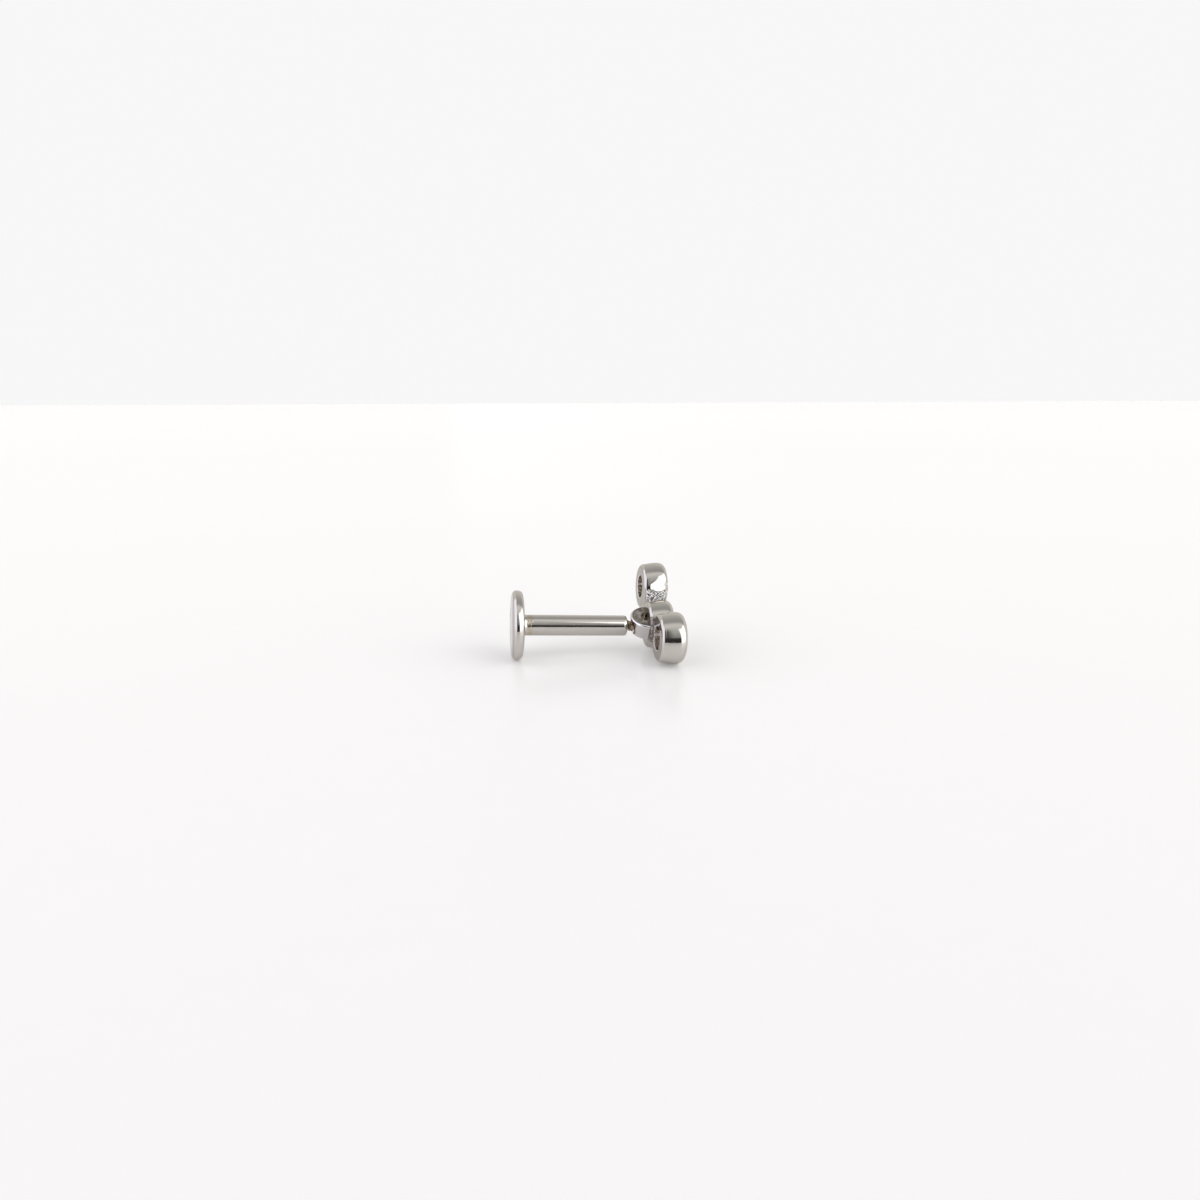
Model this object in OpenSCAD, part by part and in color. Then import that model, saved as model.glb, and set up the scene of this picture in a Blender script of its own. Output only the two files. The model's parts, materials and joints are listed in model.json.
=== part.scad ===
// Labret stud with a screw-off head of three open-backed round bezel cups.
// It is drawn worn-straight, with the post along X, and then laid down on its disc and two cups.

/* [Back disc] */
// Diameter of the flat back disc
disc_d = 4.0; // [3.4:0.1:5]
// Thickness of the back disc, whose rim is fully rounded
disc_t = 0.6; // [0.4:0.05:0.7]

/* [Post] */
// Diameter of the post, 16 gauge
post_d = 1.2; // [1.2:0.05:1.6]
// Length of the post from the disc to its free end
post_l = 6.1; // [5:0.05:12]
// Rounding of the post's free end
post_end_r = 0.16; // [0.05:0.01:0.17]
// Fillet of the weld between disc and post
weld_r = 0.12; // [0.05:0.01:0.3]

/* [Thread] */
// Outer diameter of the pin's thread
thread_d = 0.8; // [0.7:0.05:0.85]
// Distance from one thread ridge to the next
thread_pitch = 0.25; // [0.2:0.01:0.3]
// Depth of the thread's groove
thread_depth = 0.08; // [0.04:0.01:0.1]
// Length of thread inside the post
thread_engaged = 2.0; // [1:0.1:3]
// Diameter of the pin's plain shank, in the neck and through the lug
shank_d = 0.64; // [0.55:0.01:0.66]
// Length of shank left showing between the post and the lug's top edge
neck_l = 0.19; // [0.1:0.01:0.4]
// Free depth of the bore behind the pin's tip
bore_spare = 0.4; // [0.2:0.1:1]
// Running gap around the pin
thread_gap = 0.02; // [0.02:0.01:0.04]
// Break of the bore's mouth
bore_break = 0.05; // [0.02:0.01:0.08]
// How far the pin's end stays behind the cup's back face
pin_recess = 0.05; // [0.02:0.01:0.1]

/* [Cups] */
// Widest diameter of a cup, near its front rim
cup_d = 3.0; // [2.9:0.02:3.4]
// Diameter of a cup at its back edge
cup_back_d = 2.72; // [2.5:0.02:2.84]
// Depth of a cup from its back face to its rim
cup_depth = 1.5; // [1.4:0.02:1.8]
// Diameter of the round opening in a cup's back
back_hole_d = 1.35; // [1:0.05:1.5]
// Rounding of a cup's back edge
back_edge_r = 0.24; // [0.1:0.01:0.3]
// Outer rounding of a cup's front rim
rim_r = 0.36; // [0.2:0.01:0.4]
// Diameter of the mouth in a cup's front, smaller than the stone
mouth_d = 2.08; // [2:0.01:2.12]
// Break of the mouth's inner edge
mouth_break = 0.05; // [0.02:0.01:0.08]
// How far neighbouring cups run into each other where they are soldered
cup_merge = 0.12; // [0.04:0.01:0.2]
// Bend of the arc of cups at the middle one, in degrees
arc_bend = 39; // [20:1:60]
// How far the row of cups sits above the post's centre line
cup_lift = 0.07; // [0:0.01:0.12]
// Height of the solder between two cups, up into the cusp on either side
solder_h = 0.9; // [0.8:0.05:1.1]
// Width of the solder, from one cup into the other
solder_w = 0.3; // [0.24:0.02:0.4]
// Distance of the solder from the back and the front of the cups
solder_inset = 0.3; // [0.28:0.02:0.5]

/* [Lug] */
// Radius of the half-round lug at its top
lug_r = 1.08; // [1:0.02:1.12]
// Radius of the lug at its bottom, to which it tapers
lug_low_r = 0.94; // [0.86:0.02:1]
// Length of the lug along its own axis
lug_w = 1.04; // [0.98:0.02:1.1]
// Distance of the lug's axis inside the cup's back face
lug_inset = 0.09; // [0.04:0.01:0.11]
// Shift of the lug along its axis, from the middle cup's centre
lug_shift = 0.06; // [0:0.01:0.1]
// Lean of the lug's axis from the vertical, in degrees
lug_lean = 20; // [0:1:30]
// Radius of the window through the lug
window_r = 0.42; // [0.25:0.01:0.45]
// Rounding of the lug's edges
lug_edge_r = 0.08; // [0.04:0.01:0.12]
// How deep the lug is soldered into the cup's back wall
lug_sink = 0.14; // [0.12:0.01:0.2]

/* [Stones] */
// Diameter of a stone at its girdle
stone_d = 2.2; // [2.1:0.05:2.2]
// Height of the crown above the girdle
crown_h = 0.33; // [0.25:0.01:0.36]
// Depth of the pavilion below the girdle
pavilion_h = 0.94; // [0.85:0.01:0.95]
// Thickness of the girdle
girdle_t = 0.05; // [0.03:0.01:0.08]
// Diameter of the table
table_d = 1.25; // [1.1:0.05:1.4]
// Diameter at which the lower girdle facets end
lower_d = 0.62; // [0.5:0.02:0.8]
// How far the table stands proud of the rim
table_proud = 0.03; // [0:0.01:0.08]
// Gap between a stone and its seat
seat_gap = 0.03; // [0.02:0.005:0.05]

/* [Hidden] */
$fn = 96;
eps = 0.01;

steel = "lightsteelblue";
pin_brown = "sienna";
stone_clear = "azure";

disc_r = disc_d / 2;
disc_edge_r = disc_t / 2;
post_r = post_d / 2;

thread_r = thread_d / 2;
root_r = thread_r - thread_depth;
shank_r = shank_d / 2;
bore_r = thread_r + thread_gap;
bore_depth = thread_engaged + bore_spare;

cup_r = cup_d / 2;
cup_back_r = cup_back_d / 2;
back_hole_r = back_hole_d / 2;
mouth_r = mouth_d / 2;
cup_pitch = cup_d - cup_merge;
lug_reach = lug_r - lug_inset;
cup_x = post_l + neck_l + lug_reach;

pin_tip_x = post_l - thread_engaged;
pin_end_x = cup_x - pin_recess;
ridges = floor(thread_engaged / thread_pitch);

stone_r = stone_d / 2;
table_r = table_d / 2;
lower_r = lower_d / 2;
girdle_x = cup_depth + table_proud - crown_h - girdle_t;
sides = 8;
step = 360 / sides;

// Y and Z of each cup's centre, from the near one on the surface to the raised far one
cup_near = [-cup_pitch, cup_lift];
cup_middle = [0, cup_lift];
cup_far = cup_middle + cup_pitch * [cos(arc_bend), sin(arc_bend)];

// The taper touches the back edge's round and the rim's round at this angle from the radius
edge_c = [cup_back_r - back_edge_r, back_edge_r];
rim_c = [cup_r - rim_r, cup_depth - rim_r];
taper_run = rim_c - edge_c;
taper_a = asin((back_edge_r - rim_r) / norm(taper_run)) - atan2(taper_run[0], taper_run[1]);
taper_n = [cos(taper_a), sin(taper_a)];

// Lying down, the disc's edge and the rims of two cups touch the surface: the post slopes by rest_a
rim_from_disc = cup_x + rim_c[1] + disc_edge_r;
drop = disc_r - disc_edge_r - rim_c[0] + cup_lift;
rest_a = atan2(drop, rim_from_disc)
    + asin((disc_edge_r - rim_r) / norm([rim_from_disc, drop]));
rest_z = (disc_r - disc_edge_r) * cos(rest_a) + disc_edge_r - disc_edge_r * sin(rest_a);
rest_x = (cup_x + cup_depth - disc_t) / 2;
rest_y = (cup_far[0] + cup_near[0]) / 2;

// Lays what is drawn along X down on the surface, over the middle of its own footprint
module at_rest() {
    translate([-rest_x, -rest_y, rest_z])
        rotate([0, rest_a, 0])
            children();
}

// Turns a profile of radius and length about the X axis
module turned() {
    rotate([0, 90, 0])
        rotate_extrude()
            children();
}

module disc_profile() {
    translate([0, -disc_t])
        square([disc_r - disc_edge_r, disc_t]);
    translate([disc_r - disc_edge_r, -disc_edge_r])
        circle(r = disc_edge_r);
}

module post_profile() {
    translate([0, -disc_edge_r])
        square([post_r, post_l - post_end_r + disc_edge_r]);
    square([post_r - post_end_r, post_l]);
    translate([post_r - post_end_r, post_l - post_end_r])
        circle(r = post_end_r);
    difference() {
        translate([0, -eps])
            square([post_r + weld_r, weld_r + eps]);
        translate([post_r + weld_r, weld_r])
            circle(r = weld_r);
    }
}

// Disc and post are welded, and the post's free end is bored for the thread
module labret_post() {
    color(steel)
        at_rest()
            difference() {
                turned() {
                    disc_profile();
                    post_profile();
                }
                translate([post_l - bore_depth, 0, 0])
                    rotate([0, 90, 0])
                        cylinder(r = bore_r, h = bore_depth + eps);
                translate([post_l - bore_break, 0, 0])
                    rotate([0, 90, 0])
                        cylinder(r1 = bore_r, r2 = bore_r + bore_break + eps, h = bore_break + eps);
            }
}

// The thread is drawn as a stack of ridges of its own pitch
module pin_profile() {
    ridge_points = [
        for (i = [0 : ridges - 1])
            for (p = [[root_r, 0], [thread_r, 0.5]])
                [p[0], pin_tip_x + (i + p[1]) * thread_pitch]
    ];
    tail_x = pin_tip_x + ridges * thread_pitch;
    polygon(concat(
        [[0, pin_tip_x]],
        ridge_points,
        [[shank_r, tail_x], [shank_r, pin_end_x], [0, pin_end_x]]
    ));
}

module threaded_pin() {
    color(pin_brown)
        at_rest()
            turned()
                pin_profile();
}

module cup_outer_profile() {
    polygon([
        [0, 0],
        [edge_c[0], 0],
        edge_c + back_edge_r * taper_n,
        rim_c + rim_r * taper_n,
        rim_c,
        [rim_c[0], cup_depth],
        [0, cup_depth]
    ]);
    translate(edge_c)
        circle(r = back_edge_r);
    translate(rim_c)
        circle(r = rim_r);
}

// The hollow follows the stone with a gap and opens through the back
module cup_hollow_profile() {
    cone_slope = pavilion_h / stone_r;
    crown_slope = crown_h / (stone_r - table_r);
    seat_r = stone_r + seat_gap;
    seat_back_x = girdle_x - seat_gap;
    seat_front_x = girdle_x + girdle_t + seat_gap;
    top_r = seat_r - (cup_depth + eps - seat_front_x) / crown_slope;
    polygon([
        [0, -eps],
        [back_hole_r, -eps],
        [back_hole_r, seat_back_x - (seat_r - back_hole_r) * cone_slope],
        [seat_r, seat_back_x],
        [seat_r, seat_front_x],
        [top_r, cup_depth + eps],
        [0, cup_depth + eps]
    ]);
    // The bezel is turned in over the girdle, and its mouth's edge is broken
    polygon([
        [0, seat_front_x],
        [mouth_r, seat_front_x],
        [mouth_r, cup_depth - mouth_break],
        [mouth_r + mouth_break + eps, cup_depth + eps],
        [0, cup_depth + eps]
    ]);
}

module at_cup(place) {
    translate([cup_x, place[0], place[1]])
        children();
}

// Solder fills the cusp between two neighbouring cups
module solder(place_a, place_b) {
    across = place_b - place_a;
    at_cup((place_a + place_b) / 2)
        rotate([atan2(across[1], across[0]), 0, 0])
            translate([solder_inset, -solder_w / 2, -solder_h / 2])
                cube([cup_depth - 2 * solder_inset, solder_w, solder_h]);
}

// The lug tapers between two edges of the same rounding
module lug_profile() {
    low_c = [lug_low_r - lug_edge_r, lug_edge_r];
    top_c = [lug_r - lug_edge_r, lug_w - lug_edge_r];
    run = top_c - low_c;
    out = lug_edge_r * [run[1], -run[0]] / norm(run);
    polygon([[0, 0], [low_c[0], 0], low_c + out, top_c + out, [top_c[0], lug_w], [0, lug_w]]);
    translate(low_c)
        circle(r = lug_edge_r);
    translate(top_c)
        circle(r = lug_edge_r);
}

// The lug's drum, cut off in the middle cup's back wall
module lug_drum() {
    rotate([lug_lean, 0, 0])
        translate([0, 0, lug_shift - lug_w / 2])
            intersection() {
                translate([lug_inset, 0, 0])
                    rotate_extrude()
                        lug_profile();
                translate([-lug_reach, -lug_r, 0])
                    cube([lug_reach + lug_sink, 2 * lug_r, lug_w]);
            }
}

module lug_window() {
    rotate([lug_lean, 0, 0])
        translate([lug_inset, 0, lug_shift])
            cylinder(r = window_r, h = 2 * lug_w, center = true);
}

// Three cups and the lug are soldered into one piece
module setting() {
    color(steel)
        at_rest()
            difference() {
                union() {
                    for (place = [cup_near, cup_middle, cup_far])
                        at_cup(place)
                            turned()
                                cup_outer_profile();
                    solder(cup_near, cup_middle);
                    solder(cup_middle, cup_far);
                    at_cup(cup_middle)
                        difference() {
                            lug_drum();
                            lug_window();
                        }
                }
                for (place = [cup_near, cup_middle, cup_far])
                    at_cup(place)
                        turned()
                            cup_hollow_profile();
                translate([cup_x - lug_reach - eps, 0, 0])
                    rotate([0, 90, 0])
                        cylinder(r = shank_r + thread_gap, h = lug_reach + eps);
            }
}

// A ring of points at one height; the half step turns it between the main facets
function ring(count, r, x, turn = 0) = [
    for (i = [0 : count - 1])
        let (a = (i + turn) * 360 / count)
            [r * cos(a), r * sin(a), x]
];

// Height on a main facet's slope at the edge points between two facets
function facet_h(height, r_inner, r) = height * (stone_r - r * cos(step / 2)) / (stone_r - r_inner);

// Round brilliant cut, its girdle's back edge at height 0
module brilliant() {
    star_r = (table_r + stone_r) / 2;
    table_pts = ring(sides, table_r, girdle_t + crown_h);
    star_pts = ring(sides, star_r, girdle_t + facet_h(crown_h, table_r, star_r), 0.5);
    top_pts = ring(2 * sides, stone_r, girdle_t);
    bottom_pts = ring(2 * sides, stone_r, 0);
    lower_pts = ring(sides, lower_r, -facet_h(pavilion_h, 0, lower_r), 0.5);
    points = concat(table_pts, star_pts, top_pts, bottom_pts, lower_pts, [[0, 0, -pavilion_h]]);
    star_0 = sides;
    top_0 = 2 * sides;
    bottom_0 = 4 * sides;
    lower_0 = 6 * sides;
    culet = 7 * sides;
    faces = concat(
        [[for (i = [sides - 1 : -1 : 0]) i]],
        [for (i = [0 : sides - 1]) [i, (i + 1) % sides, star_0 + i]],
        [for (i = [0 : sides - 1]) [i, star_0 + i, top_0 + 2 * i]],
        [for (i = [0 : sides - 1]) [i, top_0 + 2 * i, star_0 + (i + sides - 1) % sides]],
        [for (i = [0 : sides - 1]) [star_0 + i, top_0 + 2 * i + 1, top_0 + 2 * i]],
        [for (i = [0 : sides - 1]) [star_0 + i, top_0 + (2 * i + 2) % (2 * sides), top_0 + 2 * i + 1]],
        [
            for (i = [0 : 2 * sides - 1])
                let (j = (i + 1) % (2 * sides))
                    [top_0 + i, top_0 + j, bottom_0 + j, bottom_0 + i]
        ],
        [for (i = [0 : sides - 1]) [lower_0 + i, bottom_0 + 2 * i, bottom_0 + 2 * i + 1]],
        [for (i = [0 : sides - 1]) [lower_0 + i, bottom_0 + 2 * i + 1, bottom_0 + (2 * i + 2) % (2 * sides)]],
        [for (i = [0 : sides - 1]) [culet, bottom_0 + 2 * i, lower_0 + i]],
        [for (i = [0 : sides - 1]) [culet, lower_0 + (i + sides - 1) % sides, bottom_0 + 2 * i]]
    );
    polyhedron(points, faces);
}

module stone(place) {
    color(stone_clear)
        at_rest()
            at_cup(place)
                translate([girdle_x, 0, 0])
                    rotate([0, 90, 0])
                        brilliant();
}

module stone_far() { stone(cup_far); }
module stone_middle() { stone(cup_middle); }
module stone_near() { stone(cup_near); }

labret_post();
threaded_pin();
setting();
stone_far();
stone_middle();
stone_near();
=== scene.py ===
import json
import math

import bmesh
import bpy
from mathutils import Matrix, Vector


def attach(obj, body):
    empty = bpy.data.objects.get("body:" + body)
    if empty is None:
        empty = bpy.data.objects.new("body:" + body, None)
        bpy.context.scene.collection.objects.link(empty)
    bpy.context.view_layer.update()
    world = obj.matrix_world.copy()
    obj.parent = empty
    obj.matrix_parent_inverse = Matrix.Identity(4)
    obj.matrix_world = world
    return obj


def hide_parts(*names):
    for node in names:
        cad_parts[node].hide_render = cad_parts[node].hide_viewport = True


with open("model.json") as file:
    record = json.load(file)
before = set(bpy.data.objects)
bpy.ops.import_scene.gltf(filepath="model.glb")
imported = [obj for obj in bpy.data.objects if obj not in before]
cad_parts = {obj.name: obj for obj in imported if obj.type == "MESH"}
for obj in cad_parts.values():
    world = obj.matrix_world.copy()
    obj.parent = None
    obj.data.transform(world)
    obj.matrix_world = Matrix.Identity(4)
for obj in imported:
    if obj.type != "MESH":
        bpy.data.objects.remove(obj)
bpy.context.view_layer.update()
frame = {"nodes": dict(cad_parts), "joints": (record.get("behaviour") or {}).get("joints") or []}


# ---- How the stud lies
# The stud rests on the rim of its back disc and on the front rims of two cups, so its post slopes down a
# little to the head. Pieces are drawn in millimetres along X, from the disc's inner face, and are laid down
# as they are made.

cup_back_at = 7.28
head_turn = next(joint for joint in frame["joints"] if joint["name"] == "head_turn")
post_line = Vector(head_turn["axis"]).normalized()
slope = math.atan2(-post_line.z, post_line.x)
laid_down = (
    Matrix.Translation(head_turn["pos_m"])
    @ Matrix.Rotation(slope, 4, "Y")
    @ Matrix.Scale(0.001, 4)
    @ Matrix.Translation((-cup_back_at, 0, 0))
)


# ---- Back disc
# A thin flat disc with a fully rounded rim, the part that lies against the skin inside the lip or ear.
# Turned from implant steel, laser welded to the post's end and mirror polished together with it. The flat
# back is given a darker colour than the rim.

disc_radius = 2.0
disc_thick = 0.6
barrel_radius = 0.6


def soft_line(corners, closed=False, hold=0.015):
    """Corners (along, out, rounding) as a line with round corners, each held by a point on either side."""
    line = []
    for i, (along, out, rounding) in enumerate(corners):
        here = Vector((along, out))
        if not rounding or not closed and i in (0, len(corners) - 1):
            line.append(here)
            continue
        back = Vector(corners[i - 1][:2]) - here
        on = Vector(corners[(i + 1) % len(corners)][:2]) - here
        half = back.angle(on) / 2
        reach = rounding / math.tan(half)
        centre = here + (back.normalized() + on.normalized()).normalized() * rounding / math.sin(half)
        first = here + back.normalized() * reach - centre
        turn = math.pi - 2 * half
        met = centre + Matrix.Rotation(turn, 2) @ first
        if (met - here - on.normalized() * reach).length > rounding * 0.01:
            turn = -turn
        steps = max(3, math.ceil(abs(turn) * 14 * rounding**0.35))
        if back.length > reach + 3 * hold:
            line.append(here + back.normalized() * (reach + hold))
        line += [centre + Matrix.Rotation(turn * k / steps, 2) @ first for k in range(steps + 1)]
        if on.length > reach + 3 * hold:
            line.append(here + on.normalized() * (reach + hold))
    return line


def leaning_line(start, leans):
    """A line from a start point on, by how many degrees the surface rises at each place along it."""
    line = [Vector(start)]
    for (here, lean), (there, next_lean) in zip(leans, leans[1:]):
        step = (there - here) / 3
        for k in range(3):
            rising = math.radians(lean + (next_lean - lean) * (k + 0.5) / 3)
            line.append(line[-1] + Vector((step, step * math.tan(rising))))
    return line


def placed(name, data):
    """A new object in the scene that holds the mesh, light or camera given."""
    thing = bpy.data.objects.new(name, data)
    bpy.context.scene.collection.objects.link(thing)
    return thing


def put(tree, kind, feed=(), **settings):
    """A new node with its settings, each socket in feed given a value or another node's output."""
    node = tree.nodes.new(kind)
    for key, value in settings.items():
        setattr(node, key, value)
    for key, value in dict(feed).items():
        if isinstance(value, bpy.types.NodeSocket):
            tree.links.new(value, node.inputs[key])
        else:
            node.inputs[key].default_value = value
    return node


def calc(tree, operation, *values):
    return put(tree, "ShaderNodeMath", dict(enumerate(values)), operation=operation).outputs[0]


def times(tree, value, other):
    return calc(tree, "MULTIPLY", value, other)


def plus(tree, value, other):
    return calc(tree, "ADD", value, other)


def minus(tree, value, other):
    return calc(tree, "SUBTRACT", value, other)


def vectors(tree, operation, vector, other=(0.0, 0.0, 0.0)):
    """A calculation on vectors; its length or distance where the operation gives one, else its vector."""
    node = put(tree, "ShaderNodeVectorMath", {0: vector, 1: other}, operation=operation)
    return node.outputs["Value" if operation in ("LENGTH", "DISTANCE") else "Vector"]


def scaled(tree, vector, scale):
    feed = {"Vector": vector, "Scale": scale}
    return put(tree, "ShaderNodeVectorMath", feed, operation="SCALE").outputs["Vector"]


def rotated(tree, vector, angle, axis):
    feed = {"Vector": vector, "Angle": angle}
    return put(tree, "ShaderNodeVectorRotate", feed, rotation_type=axis + "_AXIS").outputs["Vector"]


def parts(tree, vector):
    return put(tree, "ShaderNodeSeparateXYZ", {0: vector}).outputs


def vector_of(tree, **values):
    return put(tree, "ShaderNodeCombineXYZ", values).outputs[0]


def ramp_between(tree, value, low, high, to_low=0.0, to_high=1.0):
    feed = {"Value": value, "From Min": low, "From Max": high, "To Min": to_low, "To Max": to_high}
    return put(tree, "ShaderNodeMapRange", feed, interpolation_type="SMOOTHSTEP").outputs["Result"]


def fall_between(tree, value, low, high):
    return ramp_between(tree, value, low, high, 1.0, 0.0)


def new_tree(name, kind, takes, gives):
    """A node group with sockets given as (name, type) or (name, type, value), and what feeds it."""
    tree = bpy.data.node_groups.new(name, kind)
    for side, sockets in (("INPUT", takes), ("OUTPUT", gives)):
        for label, sort, *value in sockets:
            socket = tree.interface.new_socket(label, in_out=side, socket_type="NodeSocket" + sort)
            if value:
                socket.default_value = value[0]
    return tree, tree.nodes.new("NodeGroupInput").outputs


def give_back(tree, mesh, finish):
    """Ends a tree of geometry: the mesh shaded smooth, with its finish."""
    smooth = put(tree, "GeometryNodeSetShadeSmooth", {"Geometry": mesh}).outputs[0]
    done = put(tree, "GeometryNodeSetMaterial", {"Geometry": smooth, "Material": finish}).outputs[0]
    put(tree, "NodeGroupOutput", {"Geometry": done})


doubles_within = 0.0002


def lathe():
    """Turns a line of points, (along, out), about the X axis, and closes the seam and the poles."""
    tree, given = new_tree(
        "turned on the lathe",
        "GeometryNodeTree",
        [("Geometry", "Geometry"), ("Segments", "Int", 128), ("Finish", "Material")],
        [("Geometry", "Geometry")],
    )
    size = put(tree, "GeometryNodeAttributeDomainSize", {"Geometry": given["Geometry"]})
    points = size.outputs["Point Count"]
    columns = plus(tree, given["Segments"], 1)
    grid = put(tree, "GeometryNodeMeshGrid", {"Vertices X": columns, "Vertices Y": points}).outputs["Mesh"]
    number = tree.nodes.new("GeometryNodeInputIndex").outputs[0]
    column = calc(tree, "FLOOR", calc(tree, "DIVIDE", plus(tree, number, 0.5), points))
    row = minus(tree, number, times(tree, column, points))
    position = tree.nodes.new("GeometryNodeInputPosition").outputs[0]
    sample = {"Geometry": given["Geometry"], "Value": position, "Index": row}
    profile = put(tree, "GeometryNodeSampleIndex", sample, data_type="FLOAT_VECTOR").outputs["Value"]
    angle = times(tree, calc(tree, "DIVIDE", column, given["Segments"]), math.tau)
    spun = rotated(tree, profile, angle, "X")
    bent = put(tree, "GeometryNodeSetPosition", {"Geometry": grid, "Position": spun}).outputs[0]
    feed = {"Geometry": bent, "Distance": doubles_within}
    closed = put(tree, "GeometryNodeMergeByDistance", feed).outputs[0]
    give_back(tree, closed, given["Finish"])
    return tree


def as_evaluated(piece):
    """Makes what a piece's modifiers give its own mesh, and takes them off."""
    mesh = bpy.data.meshes.new_from_object(piece.evaluated_get(bpy.context.evaluated_depsgraph_get()))
    piece.modifiers.clear()
    piece.data = mesh
    return mesh


def made_by(tree, name, points, sizes, faces=(), filed=None):
    """The tree's result as a plain piece, doubles merged and faces outwards, laid down in its place."""
    start = bpy.data.meshes.new(name)
    start.from_pydata([(*point, 0.0)[:3] for point in points], [], faces)
    piece = placed(name, start)
    nodes = piece.modifiers.new(tree.name, "NODES")
    nodes.node_group = tree
    for item in tree.interface.items_tree:
        if item.in_out == "INPUT" and item.name in sizes:
            nodes[item.identifier] = sizes[item.name]
    mesh = as_evaluated(piece)
    mesh.name = name
    whole = bmesh.new()
    whole.from_mesh(mesh)
    bmesh.ops.remove_doubles(whole, verts=whole.verts, dist=doubles_within)
    bmesh.ops.recalc_face_normals(whole, faces=whole.faces)
    for vert in whole.verts if filed else ():
        vert.co = filed(vert.co)
    whole.to_mesh(mesh)
    whole.free()
    mesh.transform(laid_down)
    return piece


def upright(tree):
    """Object coordinates turned back to millimetres along the post, for what follows the stud's own axis."""
    place = tree.nodes.new("ShaderNodeTexCoord").outputs["Object"]
    moved = vectors(tree, "ADD", place, -laid_down.translation)
    return scaled(tree, rotated(tree, moved, -slope, "Y"), laid_down.inverted().to_scale().x)


def noise(tree, place, scale, detail, roughness=0.5):
    feed = {"Vector": place, "Scale": scale, "Detail": detail, "Roughness": roughness}
    return put(tree, "ShaderNodeTexNoise", feed).outputs["Fac"]


round_hairlines = (46.0, 2.4, 2.4)


def polish_marks():
    """What a mop leaves on mirror-polished steel: soft smears, hairlines round it and a few pinholes."""
    tree, given = new_tree(
        "polish marks",
        "ShaderNodeTree",
        [("Place", "Vector"), ("Hairlines", "Vector", round_hairlines)],
        [("Smear", "Float"), ("Lines", "Float"), ("Pinholes", "Float")],
    )
    smear = noise(tree, given["Place"], 1.7, 5.0, 0.62)
    drawn = vectors(tree, "MULTIPLY", given["Place"], given["Hairlines"])
    lines = noise(tree, drawn, 1.0, 3.0)
    cells = put(tree, "ShaderNodeTexVoronoi", {"Vector": given["Place"], "Scale": 5.5})
    pinhole = fall_between(tree, cells.outputs["Distance"], 0.035, 0.07)
    put(tree, "NodeGroupOutput", {"Smear": smear, "Lines": lines, "Pinholes": pinhole})
    return tree


polish = polish_marks()


def finish_called(name):
    material = bpy.data.materials.new(name)
    material.use_nodes = True
    tree = material.node_tree
    return material, tree, tree.nodes["Principled BSDF"]


def polished(tree, shader, place, gloss, hairlines=round_hairlines, relief=1.0):
    """Feeds polish marks to a metal's roughness, between two values of gloss, and returns their height."""
    marks = put(tree, "ShaderNodeGroup", node_tree=polish)
    tree.links.new(place, marks.inputs["Place"])
    marks.inputs["Hairlines"].default_value = hairlines
    shader.inputs["Specular Tint"].default_value = (0.82, 0.79, 0.76, 1)
    shader.inputs["Metallic"].default_value = 1.0
    low, high = gloss
    haze = ramp_between(tree, marks.outputs["Smear"], 0.32, 0.72, low, high)
    worn = plus(tree, haze, times(tree, marks.outputs["Pinholes"], 0.25))
    tree.links.new(worn, shader.inputs["Roughness"])
    lines = times(tree, marks.outputs["Lines"], 0.12 * relief)
    return minus(tree, lines, times(tree, marks.outputs["Pinholes"], 0.8 * relief))


def raised(tree, shader, height, depth_mm):
    bump = put(tree, "ShaderNodeBump", {"Height": height, "Strength": 1.0, "Distance": depth_mm / 1000})
    tree.links.new(bump.outputs["Normal"], shader.inputs["Normal"])


def blend(tree, share, colour, other):
    """Mixes two colours, each given as numbers or as another node's output."""
    feed = {"Factor": share, 6: colour, 7: other}
    feed = {k: (*v, 1) if isinstance(v, tuple) else v for k, v in feed.items()}
    return put(tree, "ShaderNodeMix", feed, data_type="RGBA").outputs[2]


def post_finish():
    """Mirror-polished steel, straw-tinted by the weld on the post near the disc, coloured darker on its flat
    back.
    """
    material, tree, shader = finish_called("polished post steel")
    place = upright(tree)
    height = polished(tree, shader, place, (0.04, 0.1), hairlines=(1.1, 13.0, 13.0), relief=2.2)
    along = parts(tree, place)["X"]
    mottle = noise(tree, place, 7.0, 4.0)
    wander = plus(tree, along, times(tree, mottle, 0.12))
    begins = ramp_between(tree, wander, 0.28, 0.36)
    ends = fall_between(tree, wander, 0.46, 0.72)
    patchy = ramp_between(tree, mottle, 0.36, 0.6, 0.2, 1.0)
    tint = times(tree, times(tree, begins, ends), patchy)
    cloud = noise(tree, place, 2.3, 2.0)
    steel = blend(tree, cloud, (0.545, 0.515, 0.485), (0.58, 0.55, 0.52))
    steel = blend(tree, tint, steel, (0.5, 0.43, 0.31))
    # The disc's flat back is only coloured darker; its roughness stays that of the polish.
    darker_flat_back = fall_between(tree, along, -0.588, -0.578)
    tree.links.new(blend(tree, darker_flat_back, steel, (0.36, 0.35, 0.36)), shader.inputs["Base Color"])
    crust = times(tree, tint, times(tree, mottle, 2.5))
    raised(tree, shader, plus(tree, height, crust), 0.004)
    return material


turned = lathe()
post_steel = post_finish()
rim = leaning_line(
    (-0.595, 0),
    [
        (-0.595, 68), (-0.575, 55), (-0.54, 45), (-0.47, 33), (-0.44, 18), (-0.415, 5), (-0.385, 0),
        (-0.33, -4), (-0.24, -10), (-0.16, -18), (-0.12, -26), (-0.085, -38), (-0.05, -55), (-0.02, -74),
        (0, -82),
    ],
)
grown = Vector((0, disc_radius - max(point.y for point in rim)))
rim = [point + grown for point in rim]
back_face = [Vector((-disc_thick, 0)), Vector((-disc_thick, rim[0].y - 0.02))]
front_face = [Vector((0, 1.7)), Vector((0, 0))]
disc_profile = back_face + rim + front_face
back_disc = made_by(turned, "back_disc", disc_profile, {"Segments": 256, "Finish": post_steel})
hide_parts("labret_post")
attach(back_disc, "post")


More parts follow.
